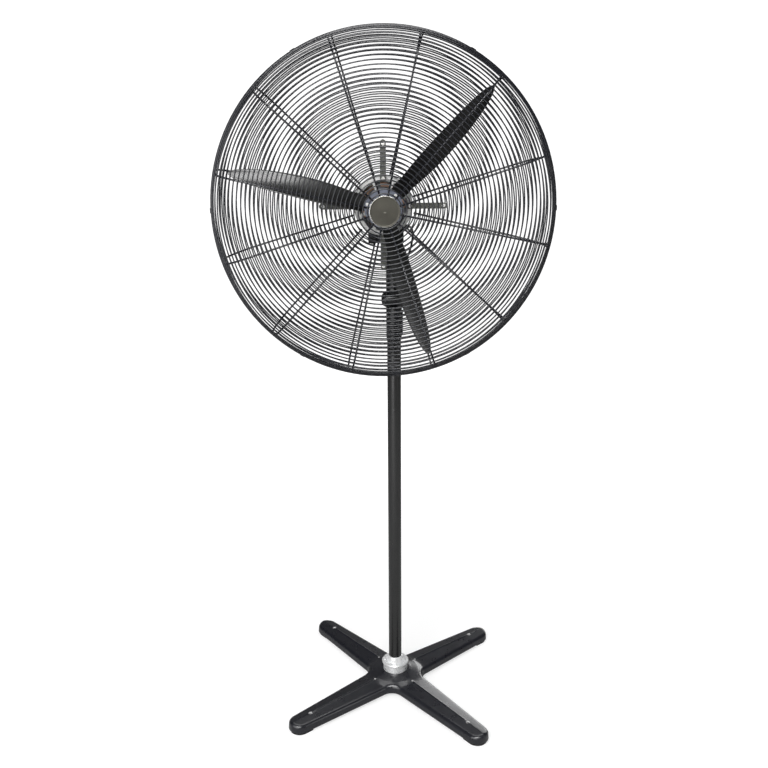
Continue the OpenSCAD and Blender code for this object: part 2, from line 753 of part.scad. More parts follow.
module guard_clips() {
    half = 6;
    sheet = 0.8;
    outside = rim_r + hoop_wire - ring_wire / 2 + 0.05;
    front = front_hoop_y - hoop_wire / 2 - 0.1;
    rear = rear_hoop_y + hoop_wire / 2 + 0.1;
    color([0.07, 0.07, 0.08]) on_fan_axis() for (k = [0:5]) at_angle(60 * k) {
        translate([outside, -half, front - sheet]) cube([sheet, 2 * half, rear - front + 2 * sheet]);
        for (y = [front - sheet, rear])
            translate([outside - 4.5, -half, y]) cube([4.5 + sheet / 2, 2 * half, sheet]);
    }
}

guard_screw_r = 146.2;  // midway between two of the rear rings

module guard_arms() {
    half = 7.2;
    tip = 149;
    color([0.30, 0.30, 0.28]) on_fan_axis() for (k = [0:3]) at_angle(90 * k) difference() {
        union() {
            translate([60, -half, motor_front - 3.05]) cube([tip - 60, 2 * half, 3]);
            translate([tip, 0, motor_front - 3.05]) cylinder(r = half, h = 3);
        }
        translate([motor_bolt_r, 0, -100]) cylinder(r = 2.6, h = 100);
        translate([guard_screw_r, 0, -100]) cylinder(r = 2.1, h = 100);
    }
}

// Small screws with clamp washers that hold the rear wires on the arms.
module guard_arm_screws() {
    head = motor_front - 3.05;
    back = rear_face_y + ring_wire / 2 + 0.1;
    color([0.6, 0.6, 0.6]) on_fan_axis() for (k = [0:3]) at_angle(90 * k) translate([guard_screw_r, 0, 0]) {
        translate([0, 0, head - 2]) cylinder(r = 4, h = 2, $fn = 32);
        translate([0, 0, head - 1]) cylinder(r = 2, h = back - head + 2, $fn = 32);
        for (at = [back, back - ring_wire - 2.2]) translate([0, 0, at]) cylinder(r = 5, h = 2, $fn = 32);
    }
}

badge_r = 35.5;

module badge() {
    color([0.42, 0.40, 0.35]) on_fan_axis() rotate_extrude($fn = 96) polygon([[0, front_face_y - 5.5],
        [31, front_face_y - 5], [33, front_face_y - 5.6], [34.8, front_face_y - 5.2], [badge_r, front_face_y - 4],
        [badge_r, front_face_y - 1.6], [0, front_face_y - 1.6]]);
}

module badge_plate() {
    back = front_face_y + spoke_inset + spoke_wire / 2 + 0.05;
    color([0.2, 0.2, 0.2]) on_fan_axis() {
        disc(30, back, back + 2);
        disc(4, front_face_y - 1.6, back + 3);
    }
}

// ---------- gearbox ----------

wall = 4;
crank_r = 6;
corner_screws = [for (x = [box_x0 + 6, box_x1 - 6], y = [bell_rear + 6, box_rear - 6]) [x, y]];

module gearbox_housing() {
    color([0.12, 0.12, 0.13]) difference() {
        union() {
            difference() {
                translate([box_x0, bell_rear, box_z0])
                    cube([box_x1 - box_x0, box_rear - bell_rear, box_z1 - box_z0]);
                translate([box_x0 + wall, bell_rear + 3, box_z0 + wall])
                    cube([box_x1 - box_x0 - 2 * wall, box_rear - bell_rear - wall - 3, box_z1]);
            }
            translate([0, crank_y, 0]) disc(11, boss_bottom, box_z0 + 1);
            translate([0, wheel_y, 0]) disc(7, box_z0 + 1, box_z0 + 8);
            for (p = corner_screws) translate(p) disc(5, box_z0 + 2, box_z1);
        }
        translate([0, crank_y, 0]) disc(crank_r + run_fit, 0, fan_z);
        translate([0, wheel_y, 0]) disc(3 + run_fit, box_z0 + 3, fan_z);
        on_fan_axis() disc(shaft_r + 1.5, 0, 60);
        for (p = corner_screws) translate(p) disc(2, box_z1 - 14, box_z1 + cut);
    }
}

module gearbox_cover() {
    color([0.12, 0.12, 0.13]) difference() {
        union() {
            translate([box_x0, bell_rear, box_z1]) cube([box_x1 - box_x0, box_rear - bell_rear, wall]);
            translate([0, wheel_y, 0]) disc(7, box_z1 - 8, box_z1 + 1);
        }
        translate([0, crank_y, 0]) disc(crank_r + 0.5, 0, box_z1 + big);
        translate([0, wheel_y, 0]) disc(3 + run_fit, fan_z, box_z1 - 1);
        for (p = corner_screws) translate(p) disc(2.1, fan_z, box_z1 + big);
    }
}

module gearbox_screws() {
    color([0.5, 0.5, 0.52]) for (p = corner_screws)
        translate([p[0], p[1], box_z1 + wall]) cap_screw(2, 13);
}

pinion_teeth = 10;
output_teeth = 30;
gear_z = box_z0 + 12;

module worm_wheel() {
    color([0.75, 0.6, 0.3]) translate([0, wheel_y, 0]) {
        translate([0, 0, fan_z - 2.5]) spur_gear(wheel_teeth, worm_module, 2.9, 5);
        disc(3, box_z0 + 4, box_z1 - 2);
        disc(5, gear_z + 11, fan_z - 2);
        translate([0, 0, gear_z]) rotate([0, 0, 180 / pinion_teeth])
            spur_gear(pinion_teeth, gear_module, 2.9, 12);
    }
}

module output_gear() {
    color([0.85, 0.83, 0.75]) translate([0, crank_y, gear_z + 1])
        spur_gear(output_teeth, gear_module, crank_r + run_fit, 10);
}

clutch_r = 4;

// Vertical shaft, arm and pin in one. Its arm points backwards at rest.
module crank() {
    arm_low = column_top;
    color([0.5, 0.5, 0.52]) difference() {
        union() {
            translate([0, crank_y, 0]) disc(crank_r, arm_low, box_z1 + 8);
            translate([0, crank_y, 0]) disc(10, arm_low, boss_bottom - 0.3);
            translate([-8, crank_y, arm_low]) cube([16, crank_throw, 8]);
            translate([0, crank_y + crank_throw, arm_low]) cylinder(r = 8, h = 8);
            translate([0, crank_y + crank_throw, 0]) disc(crank_pin_r, arm_z - 2, arm_low + 4);
        }
        translate([0, crank_y, 0]) disc(clutch_r + run_fit, gear_z + 10, box_z1 + big);
    }
}

// Push down to make the head swing, pull up to let it stand still.
module clutch_knob() {
    color([0.05, 0.05, 0.05]) translate([0, crank_y, 0]) {
        disc(clutch_r, gear_z + 17, box_z1 + 18);
        difference() {
            disc(12, box_z1 + 16, box_z1 + 34);
            for (k = [0:11]) rotate(30 * k) translate([13.5, 0, box_z1]) cylinder(r = 2.4, h = 40, $fn = 24);
        }
    }
}

// ---------- electrics at the back ----------

knob_x = fan_x;
knob_z = fan_z - 7;

module switch_box() {
    inner = box_rear + 2;
    color([0.05, 0.05, 0.05]) difference() {
        translate([box_x0, box_rear, box_z0]) cube([box_x1 - box_x0, switch_rear - box_rear, box_z1 - box_z0]);
        translate([box_x0 + 3, inner, box_z0 + 3])
            cube([box_x1 - box_x0 - 6, switch_rear - inner - 3, box_z1 - box_z0 - 6]);
        translate([knob_x, 0, knob_z]) rotate([-90, 0, 0]) cylinder(r = 5, h = 300);
    }
}

module speed_switch() {
    color([0.8, 0.78, 0.7]) difference() {
        translate([knob_x - 16, switch_rear - 23, knob_z - 16]) cube([32, 19.9, 32]);
        translate([knob_x, 0, knob_z]) rotate([-90, 0, 0]) cylinder(r = 3 + run_fit, h = 300);
    }
}

module run_capacitor() {
    color([0.85, 0.85, 0.83]) translate([18, box_rear + 4, knob_z]) rotate([-90, 0, 0]) cylinder(r = 13, h = 30);
}

module speed_knob() {
    color([0.05, 0.05, 0.05]) translate([knob_x, 0, knob_z]) rotate([-90, 0, 0]) {
        disc(3, switch_rear - 20, switch_rear + 6);
        difference() {
            disc(17, switch_rear + 1, switch_rear + 14);
            translate([-20, 4, switch_rear + 5]) cube([40, 20, 20]);
            translate([-20, -24, switch_rear + 5]) cube([40, 20, 20]);
        }
    }
}

base_cross();
foot_pads();
base_collar();
collar_screws();
pole();
pole_lock_nut();
cord_gland();
neck_socket();
socket_screws();
tilt_bolt();
tilt_washer();
tilt_knob();
neck_column();
spindle_bushes();
thrust_washer();
slotted_arm();
arm_screw();
lead_gland();
pan_spindle();
motor_cradle();
cradle_screws();
motor_shell();
front_bell();
rear_bell();
stator_core();
stator_windings();
motor_bolts();
bearings();
motor_gland();
motor_lead();
rotor_shaft();
rotor_core();
worm();
blade_hub();
hub_nut();
fan_blades();
blade_rivets();
guard_arms();
guard_arm_screws();
rear_face_rings();
rear_side_rings();
rear_spokes();
front_face_rings();
front_side_rings();
front_spokes();
rim_hoops();
guard_clips();
badge();
badge_plate();
gearbox_housing();
gearbox_cover();
gearbox_screws();
worm_wheel();
output_gear();
crank();
clutch_knob();
switch_box();
speed_switch();
run_capacitor();
speed_knob();
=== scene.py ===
"""Looks of an industrial pedestal fan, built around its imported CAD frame. Metres, +Z up."""
import json
import math
import bmesh
import bpy
from mathutils import Matrix, Vector


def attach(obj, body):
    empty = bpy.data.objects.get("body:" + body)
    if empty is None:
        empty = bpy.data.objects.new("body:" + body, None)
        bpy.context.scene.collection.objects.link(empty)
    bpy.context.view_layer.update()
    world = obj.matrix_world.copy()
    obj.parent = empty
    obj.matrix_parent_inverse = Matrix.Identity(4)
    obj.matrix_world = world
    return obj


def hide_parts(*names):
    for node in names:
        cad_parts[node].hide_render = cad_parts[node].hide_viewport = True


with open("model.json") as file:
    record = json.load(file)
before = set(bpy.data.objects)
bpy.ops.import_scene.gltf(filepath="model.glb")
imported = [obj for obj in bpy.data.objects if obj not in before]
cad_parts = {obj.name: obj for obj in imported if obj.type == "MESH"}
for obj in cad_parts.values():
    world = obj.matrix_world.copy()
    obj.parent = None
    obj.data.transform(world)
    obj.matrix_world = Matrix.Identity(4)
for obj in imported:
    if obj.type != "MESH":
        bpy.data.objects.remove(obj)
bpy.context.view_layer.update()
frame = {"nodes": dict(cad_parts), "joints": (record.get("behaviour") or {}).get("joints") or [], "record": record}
CAD = frame["nodes"]
JOINTS = {j["name"]: j for j in frame["joints"]}
FAN_AXIS = Vector(JOINTS["rotor_spin"]["pos_m"])
MM = 0.001
LEG_TURN = math.radians(38)
LEG_TURNS = [LEG_TURN + math.pi / 2 * k for k in range(4)]
HOLD_DOWN_R = 300 * MM
WIRE_NODES = ("front_face_rings", "front_side_rings", "front_spokes",
              "rear_face_rings", "rear_side_rings", "rear_spokes", "rim_hoops")


# ---------- nodes ----------

# the colour sockets of a Mix node, by place, because its float and vector sockets have the same names
MIX_A, MIX_B, MIX_RESULT = 6, 7, 2


def feed(socket, value):
    """Links value to socket if it is a socket too, or else sets it there."""
    if isinstance(value, bpy.types.NodeSocket):
        socket.id_data.links.new(value, socket)
    else:
        socket.default_value = value


def add_node(tree, kind, inputs=(), **settings):
    """A new node with these settings. Each input is a value or a socket."""
    made = tree.nodes.new(kind)
    for key, value in settings.items():
        setattr(made, key, value)
    for key, value in dict(inputs).items():
        feed(made.inputs[key], value)
    return made


def opaque(tint):
    """A grey or three channels with full alpha. A socket stays as it is."""
    if isinstance(tint, bpy.types.NodeSocket):
        return tint
    channels = tuple(tint) if hasattr(tint, "__len__") else (tint, tint, tint)
    return channels + (1.0,)


def set_stops(ramp, stops):
    """Gives a colour ramp its (position, tint) stops."""
    while len(ramp.elements) < len(stops):
        ramp.elements.new(0.5)
    for element, (at, tint) in zip(ramp.elements, stops):
        element.position = at
        element.color = opaque(tint)


# ---------- camera, light and floor ----------

CAMERA_PLACE = (-0.0743, -2.1918, 1.5320)
CAMERA_PITCH = math.radians(16.0)
CAMERA_YAW = math.radians(1.236)
CAMERA_ROLL = math.radians(-0.408)
LENS_MM = 40.505
SENSOR_MM = 36.0
BRIGHT_WALL = Vector((-0.35, -0.80, 0.45)).normalized()
LIGHTS = (  # name, place, target, size, watts
    ("key_light", (-0.6, -3.0, 3.35), (0.0, 0.0, 1.1), (2.4, 1.3), 150),
    ("front_strip", (-1.25, -3.1, 1.2), (0.0, 0.0, 1.2), (1.4, 2.2), 34),
    ("left_light", (-2.4, -2.4, 1.4), (0.0, 0.0, 1.0), (1.4, 2.0), 28),
    ("right_light", (2.8, -1.8, 1.4), (0.0, 0.0, 0.9), (0.4, 2.2), 10),
    ("top_light", (0.2, 1.2, 4.2), (0.0, 0.0, 0.5), (2.4, 1.8), 45),
    ("back_light", (1.8, 3.4, 1.3), (0.0, 0.1, 1.3), (2.0, 1.2), 40),
)


def aim(obj, forward, roll=0.0):
    """Turns obj so that its -Z looks along forward, with +Y up apart from roll."""
    forward = forward.normalized()
    right = forward.cross(Vector((0, 0, 1))).normalized()
    up = right.cross(forward)
    side = right * math.cos(roll) + up * math.sin(roll)
    top = up * math.cos(roll) - right * math.sin(roll)
    turn = Matrix((side, top, -forward)).transposed()
    obj.matrix_world = Matrix.Translation(obj.location) @ turn.to_4x4()


def put(name, data, place=(0.0, 0.0, 0.0)):
    """A new object of the scene."""
    made = bpy.data.objects.new(name, data)
    bpy.context.scene.collection.objects.link(made)
    made.location = place
    return made


def make_camera():
    data = bpy.data.cameras.new("camera")
    data.lens = LENS_MM
    data.sensor_width = SENSOR_MM
    cam = put("camera", data, CAMERA_PLACE)
    level = math.cos(CAMERA_PITCH)
    forward = Vector((math.sin(CAMERA_YAW) * level, math.cos(CAMERA_YAW) * level, -math.sin(CAMERA_PITCH)))
    aim(cam, forward, CAMERA_ROLL)
    bpy.context.scene.camera = cam


def make_lights():
    for name, place, target, size, watts in LIGHTS:
        data = bpy.data.lights.new(name, "AREA")
        data.shape = "RECTANGLE"
        data.size, data.size_y = size
        data.energy = watts
        aim(put(name, data, place), Vector(target) - Vector(place))


def make_world():
    """A dim room with a soft bright wall in front and to the left. The camera itself sees plain white."""
    world = bpy.data.worlds.new("studio")
    bpy.context.scene.world = world
    world.use_nodes = True
    tree = world.node_tree
    coords = add_node(tree, "ShaderNodeTexCoord")
    towards = add_node(tree, "ShaderNodeVectorMath", {0: coords.outputs["Generated"], 1: BRIGHT_WALL},
                       operation="DOT_PRODUCT")
    ramp = add_node(tree, "ShaderNodeValToRGB", {"Fac": towards.outputs["Value"]})
    ramp.color_ramp.interpolation = "EASE"
    set_stops(ramp.color_ramp, ((0.45, 0.02), (1.0, 0.30)))
    rays = add_node(tree, "ShaderNodeLightPath")
    seen = add_node(tree, "ShaderNodeMath", {0: ramp.outputs["Color"], 1: rays.outputs["Is Camera Ray"]},
                    operation="MAXIMUM")
    feed(tree.nodes["Background"].inputs["Color"], seen.outputs[0])


def floor_paper():
    """Matt pale paper. It glows for the camera alone, less under the object than far off."""
    mat = bpy.data.materials.new("floor_paper")
    mat.use_nodes = True
    tree = mat.node_tree
    coords = add_node(tree, "ShaderNodeTexCoord")
    away = add_node(tree, "ShaderNodeVectorMath", {0: coords.outputs["Object"]}, operation="LENGTH")
    fade = add_node(tree, "ShaderNodeMapRange", {"Value": away.outputs["Value"], "From Min": 0.45,
                                                 "From Max": 1.8, "To Min": 0.60, "To Max": 1.0})
    rays = add_node(tree, "ShaderNodeLightPath")
    glow = add_node(tree, "ShaderNodeMath", {0: fade.outputs["Result"], 1: rays.outputs["Is Camera Ray"]},
                    operation="MULTIPLY")
    shader = tree.nodes["Principled BSDF"]
    for socket, value in (("Base Color", opaque(0.45)), ("Roughness", 0.95), ("Specular IOR Level", 0.0),
                          ("Emission Color", opaque(1.0)), ("Emission Strength", glow.outputs[0])):
        feed(shader.inputs[socket], value)
    return mat


def make_floor():
    """A pale sweep: a floor that curves up into a wall far behind."""
    half_width, near, far, height, curve, steps = 9.0, -6.0, 5.0, 6.0, 2.0, 16
    bend = [math.pi / 2 * i / steps for i in range(steps + 1)]
    profile = [(near, 0.0)]
    profile += [(far + curve * math.sin(a), curve * (1 - math.cos(a))) for a in bend]
    profile.append((far + curve, height))
    bm = bmesh.new()
    rows = [[bm.verts.new((x, y, z)) for x in (-half_width, half_width)] for y, z in profile]
    for a, b in zip(rows, rows[1:]):
        bm.faces.new((a[0], a[1], b[1], b[0]))
    mesh = bpy.data.meshes.new("floor")
    bm.to_mesh(mesh)
    bm.free()
    mesh.shade_smooth()
    mesh.materials.append(floor_paper())
    floor = put("floor", mesh)


# ---------- materials ----------

COAT_ROUGHNESS = 0.1
# Spots painted grey on the base: round each hold-down hole uncoated metal together with a painted highlight, and
# at the inner end of each leg's ridge a painted highlight alone.
METAL_AND_HIGHLIGHT_GREY = 0.45
METAL_AND_HIGHLIGHT_SPOTS = ((HOLD_DOWN_R, 31 * MM, 5.4 * MM), (76 * MM, 40 * MM, 2.6 * MM))  # radius, height, reach
SHEET_PITCH = 0.5 * MM
STRAND_PITCH = 1.0 * MM
SPUN_PITCH = 0.35 * MM
LATHE_PITCH = 0.9 * MM
BADGE_LIP_R = 35.5 * MM


class Look:
    """A node material with helpers for the usual chains of procedural detail."""

    def __init__(self, name, metallic=0.0, specular=0.5, coat=0.0):
        self.mat = bpy.data.materials.new(name)
        self.mat.use_nodes = True
        self.tree = self.mat.node_tree
        self.shader = self.tree.nodes["Principled BSDF"]
        for socket, value in (("Metallic", metallic), ("Specular IOR Level", specular),
                              ("Coat Weight", coat), ("Coat Roughness", COAT_ROUGHNESS)):
            feed(self.shader.inputs[socket], value)
        self.coords = self.node("ShaderNodeTexCoord").outputs["Object"]
        self.tone = None
        self.relief = None

    def node(self, kind, inputs=(), **settings):
        return add_node(self.tree, kind, inputs, **settings)

    def stretched(self, scale):
        """Object coordinates, scaled by a different amount along each axis."""
        return self.node("ShaderNodeMapping", {"Vector": self.coords, "Scale": scale}).outputs["Vector"]

    def noise(self, scale, detail=3.0, rough=0.5, vector=None):
        inputs = {"Vector": vector or self.coords, "Scale": scale, "Detail": detail, "Roughness": rough}
        return self.node("ShaderNodeTexNoise", inputs).outputs["Fac"]

    def cells(self, scale):
        inputs = {"Vector": self.coords, "Scale": scale}
        return self.node("ShaderNodeTexVoronoi", inputs).outputs["Distance"]

    def ramp(self, value, *stops):
        """Maps value through (position, tint) stops."""
        made = self.node("ShaderNodeValToRGB", {"Fac": value})
        set_stops(made.color_ramp, stops)
        return made.outputs["Color"]

    def mix(self, factor, a, b):
        inputs = {"Factor": factor, MIX_A: opaque(a), MIX_B: opaque(b)}
        return self.node("ShaderNodeMix", inputs, data_type="RGBA").outputs[MIX_RESULT]

    def math(self, operation, a, b=0.0):
        return self.node("ShaderNodeMath", {0: a, 1: b}, operation=operation).outputs[0]

    def waves(self, value, pitch):
        """A sine of value with this pitch."""
        return self.math("SINE", self.math("MULTIPLY", value, 2 * math.pi / pitch))

    def colour(self, socket):
        self.tone = socket
        feed(self.shader.inputs["Base Color"], socket)

    def roughness(self, value, low, high):
        made = self.node("ShaderNodeMapRange", {"Value": value, "To Min": low, "To Max": high})
        feed(self.shader.inputs["Roughness"], made.outputs["Result"])

    def bump(self, height, distance, strength=1.0):
        """Adds one more layer of relief, distance metres deep."""
        inputs = {"Height": height, "Distance": distance, "Strength": strength}
        if self.relief is not None:
            inputs["Normal"] = self.relief
        self.relief = self.node("ShaderNodeBump", inputs).outputs["Normal"]
        feed(self.shader.inputs["Normal"], self.relief)

    def fan_radius(self):
        """Distance from the fan's axis, which runs along Y."""
        moved = self.node("ShaderNodeVectorMath", {0: self.coords, 1: tuple(FAN_AXIS)}, operation="SUBTRACT")
        inputs = {0: moved.outputs[0], 1: (1.0, 0.0, 1.0)}
        flat = self.node("ShaderNodeVectorMath", inputs, operation="MULTIPLY")
        return self.node("ShaderNodeVectorMath", {0: flat.outputs[0]}, operation="LENGTH").outputs["Value"]


def shade(tint, by):
    return tuple(min(1.0, c * by) for c in tint)


def paint_tone(look, tint, speck_scale):
    """Slow colour drift with fine pale specks."""
    drift = look.ramp(look.noise(9.0, 5.0), (0.3, 0.0), (0.7, 1.0))
    specks = look.ramp(look.noise(speck_scale, 2.0), (0.66, 0.0), (0.74, 0.35))
    tone = look.mix(drift, shade(tint, 0.85), shade(tint, 1.2))
    return look.mix(specks, tone, shade(tint, 1.8))


def coated_look(name, tint, rough, grain, depth, specular=0.5, coat=0.0):
    """Paint or powder coat: colour drift, specks, cloudy gloss and fine orange peel."""
    look = Look(name, specular=specular, coat=coat)
    look.colour(paint_tone(look, tint, grain * 2.2))
    look.roughness(look.noise(35.0, 4.0), rough - 0.06, rough + 0.10)
    look.bump(look.noise(grain, 2.0), depth)
    look.bump(look.noise(60.0, 3.0), depth * 0.6, 0.6)
    return look


def coated_metal(*facts):
    return coated_look(*facts).mat


def base_enamel(name, tint, rough):
    """The coated casting, with grey spots painted on: uncoated metal plus a painted highlight round its drilled
    holes, and a painted highlight at the inner ends of the ridges.
    """
    look = coated_look(name, tint, rough, 420.0, 0.05 * MM, 0.5, 0.25)
    metal_and_highlight = 0.0
    for turn in LEG_TURNS:
        for r, z, reach in METAL_AND_HIGHLIGHT_SPOTS:
            inputs = {0: look.coords, 1: (r * math.cos(turn), r * math.sin(turn), z)}
            away = look.node("ShaderNodeVectorMath", inputs, operation="DISTANCE").outputs["Value"]
            metal_and_highlight = look.math("MAXIMUM", metal_and_highlight, look.math("LESS_THAN", away, reach))
    # Mixes in the grey spots: painted highlights, with uncoated metal at the holes.
    look.colour(look.mix(metal_and_highlight, look.tone, METAL_AND_HIGHLIGHT_GREY))
    return look.mat


def cast_metal(name, tint, rough, polish):
    """Bare casting: sand grain under a polish, with duller patches."""
    look = Look(name, metallic=0.5)
    patches = look.ramp(look.noise(28.0, 5.0, 0.6), (0.35, 0.0), (0.65, 1.0))
    look.colour(look.mix(patches, shade(tint, 0.78), tint))
    look.roughness(look.noise(90.0, 4.0), rough - 0.08, rough + 0.14)
    look.bump(look.noise(900.0, 3.0), 0.05 * MM * (1.0 - polish))
    look.bump(look.cells(350.0), 0.03 * MM * (1.0 - polish), 0.5)
    return look.mat


def turned_metal(name, tint, rough):
    """Machined face: fine lathe rings about the fan's axis."""
    look = Look(name, metallic=0.5)
    patches = look.noise(40.0, 5.0, 0.6)
    look.colour(look.mix(look.ramp(patches, (0.3, 0.0), (0.7, 1.0)), shade(tint, 0.8), tint))
    look.roughness(patches, rough - 0.06, rough + 0.12)
    look.bump(look.waves(look.fan_radius(), LATHE_PITCH), 0.02 * MM, 0.7)
    look.bump(look.noise(700.0, 2.0), 0.02 * MM, 0.5)
    return look.mat


def plated_steel(name, tint, rough, metallic=1.0):
    """Zinc or oxide plate on small steel parts: a cloudy film with brushed streaks."""
    look = Look(name, metallic=metallic)
    cloud = look.ramp(look.noise(120.0, 5.0, 0.6), (0.35, 0.0), (0.7, 1.0))
    streaks = look.noise(1.0, 3.0, vector=look.stretched((900.0, 120.0, 900.0)))
    look.colour(look.mix(cloud, shade(tint, 0.85), shade(tint, 1.1)))
    look.roughness(streaks, rough - 0.08, rough + 0.12)
    look.bump(streaks, 0.015 * MM, 0.6)
    return look.mat


def moulded(name, tint, rough, depth, specular=0.5):
    """Moulded plastic or rubber: leathery grain and a little bloom."""
    look = Look(name, specular=specular)
    bloom = look.ramp(look.noise(14.0, 5.0, 0.6), (0.4, 0.0), (0.75, 1.0))
    look.colour(look.mix(bloom, tint, shade(tint, 1.7)))
    look.roughness(look.noise(70.0, 3.0), rough - 0.05, rough + 0.08)
    look.bump(look.cells(1400.0), depth, 0.7)
    look.bump(look.noise(300.0, 2.0), depth, 0.5)
    return look.mat


def laminated(name, tint):
    """A stack of thin sheets along the fan's axis, with a film of rust."""
    look = Look(name, metallic=1.0)
    along_axis = look.node("ShaderNodeSeparateXYZ", {"Vector": look.coords}).outputs["Y"]
    rust = look.noise(60.0, 5.0, 0.65)
    look.colour(look.mix(look.ramp(rust, (0.5, 0.0), (0.8, 0.6)), tint, (0.20, 0.12, 0.08)))
    look.roughness(rust, 0.35, 0.55)
    look.bump(look.waves(along_axis, SHEET_PITCH), 0.05 * MM, 0.8)
    return look.mat


def wound_copper(name, tint):
    """Enamelled wire laid side by side around the fan's axis, dipped in varnish."""
    look = Look(name, metallic=0.4, coat=0.4)
    varnish = look.noise(90.0, 4.0, 0.6)
    look.colour(look.mix(look.ramp(varnish, (0.4, 0.0), (0.75, 1.0)), tint, shade(tint, 0.45)))
    look.roughness(varnish, 0.25, 0.45)
    look.bump(look.waves(look.fan_radius(), STRAND_PITCH), 0.2 * MM, 0.9)
    look.bump(look.noise(500.0, 2.0), 0.1 * MM, 0.6)
    return look.mat


def blade_lacquer(name, tint):
    """Glossy lacquer on the blades, matt with dust near the hub."""
    look = Look(name, specular=0.6)
    look.colour(paint_tone(look, tint, 1400.0))
    clean = look.ramp(look.math("MULTIPLY", look.fan_radius(), 2.5), (0.20, 0.0), (0.55, 1.0))
    gloss = look.math("SUBTRACT", 0.52, look.math("MULTIPLY", clean, 0.33))
    cloud = look.math("MULTIPLY", look.noise(35.0, 4.0), 0.08)
    feed(look.shader.inputs["Roughness"], look.math("ADD", gloss, cloud))
    shine = look.math("ADD", 0.2, look.math("MULTIPLY", clean, 0.45))
    feed(look.shader.inputs["Specular IOR Level"], shine)
    look.bump(look.noise(650.0, 2.0), 0.01 * MM)
    look.bump(look.noise(60.0, 3.0), 0.006 * MM, 0.6)
    return look.mat


def badge_face(name, face, edge):
    """A spun disc: satin lacquer inside, a bright polished lip at the rim."""
    look = Look(name, metallic=0.9)
    radius = look.fan_radius()
    lip = look.ramp(look.math("DIVIDE", radius, BADGE_LIP_R * 1.25), (0.772, 0.0), (0.782, 1.0))
    drift = look.ramp(look.noise(30.0, 5.0), (0.3, 0.0), (0.7, 1.0))
    look.colour(look.mix(lip, look.mix(drift, shade(face, 0.85), shade(face, 1.15)), edge))
    gloss = look.math("SUBTRACT", 0.42, look.math("MULTIPLY", lip, 0.27))
    grain = look.math("MULTIPLY", look.noise(240.0, 3.0), 0.1)
    feed(look.shader.inputs["Roughness"], look.math("ADD", gloss, grain))
    look.bump(look.waves(radius, SPUN_PITCH), 0.008 * MM, 0.6)
    return look.mat


MATERIAL_FACTS = {  # maker of the material, then its facts after the name
    "base_enamel": (base_enamel, (0.0105, 0.0110, 0.0145), 0.27),
    "foot_rubber": (moulded, (0.012, 0.012, 0.012), 0.80, 0.08 * MM, 0.3),
    "polished_casting": (cast_metal, (0.97, 0.975, 0.98), 0.26, 0.5),
    "bell_casting": (turned_metal, (0.74, 0.74, 0.73), 0.45),
    "charcoal_paint": (coated_metal, (0.006, 0.006, 0.006), 0.22, 700.0, 0.02 * MM, 0.8),
    "motor_paint": (coated_metal, (0.014, 0.014, 0.016), 0.42, 500.0, 0.06 * MM, 0.45),
    "dark_fasteners": (plated_steel, (0.10, 0.10, 0.105), 0.40),
    "bright_fasteners": (plated_steel, (1.0, 0.98, 0.93), 0.34, 0.0),
    "black_plastic": (moulded, (0.014, 0.014, 0.014), 0.45, 0.04 * MM),
    "black_rubber": (moulded, (0.012, 0.012, 0.012), 0.70, 0.05 * MM, 0.35),
    "bronze_bush": (plated_steel, (0.52, 0.33, 0.12), 0.35),
    "ground_steel": (plated_steel, (0.62, 0.63, 0.65), 0.22),
    "plated_steel": (plated_steel, (0.50, 0.51, 0.52), 0.36),
    "laminations": (laminated, (0.36, 0.37, 0.39)),
    "copper_wire": (wound_copper, (0.86, 0.56, 0.42)),
    "hub_paint": (coated_metal, (0.17, 0.185, 0.235), 0.34, 600.0, 0.03 * MM),
    "blade_paint": (blade_lacquer, (0.0030, 0.0030, 0.0028)),
    "arm_paint": (coated_metal, (0.085, 0.087, 0.078), 0.50, 500.0, 0.05 * MM),
    "guard_wire": (coated_metal, (0.011, 0.0115, 0.015), 0.20, 900.0, 0.01 * MM, 0.6),
    "rim_paint": (coated_metal, (0.007, 0.0072, 0.008), 0.24, 900.0, 0.01 * MM, 0.25),
    "badge_metal": (badge_face, (0.066, 0.063, 0.053), (0.90, 0.89, 0.85)),
    "dark_steel": (coated_metal, (0.03, 0.03, 0.03), 0.45, 500.0, 0.04 * MM),
    "worm_bronze": (plated_steel, (0.58, 0.40, 0.16), 0.30),
    "gear_plastic": (moulded, (0.62, 0.58, 0.46), 0.40, 0.02 * MM),
    "switch_plastic": (moulded, (0.55, 0.52, 0.42), 0.45, 0.03 * MM),
    "capacitor_can": (moulded, (0.70, 0.70, 0.66), 0.35, 0.02 * MM),
}
MATERIALS = {name: maker(name, *facts) for name, (maker, *facts) in MATERIAL_FACTS.items()}


def dress_cad_nodes():
    """Every CAD node takes the material of its record slot."""
    for part in frame["record"]["subparts"]:
        node = CAD[part["node"]]
        node.data.materials.clear()
        node.data.materials.append(MATERIALS[part["material_slot"]])


def smooth_wires():
    """A modifier that rounds the shading of the guard's eight-sided wires."""
    group = bpy.data.node_groups.new("round_shading", "GeometryNodeTree")
    for in_out in ("INPUT", "OUTPUT"):
        group.interface.new_socket("Geometry", in_out=in_out, socket_type="NodeSocketGeometry")
    source = add_node(group, "NodeGroupInput")
    joined = add_node(group, "GeometryNodeMergeByDistance",
                      {"Geometry": source.outputs[0], "Distance": 0.01 * MM})
    smooth = add_node(group, "GeometryNodeSetShadeSmooth", {"Geometry": joined.outputs["Geometry"]})
    add_node(group, "NodeGroupOutput", {0: smooth.outputs["Geometry"]})
    for name in WIRE_NODES:
        CAD[name].modifiers.new("round_shading", "NODES").node_group = group


# ---------- pieces ----------

WELD_REACH = 0.02 * MM


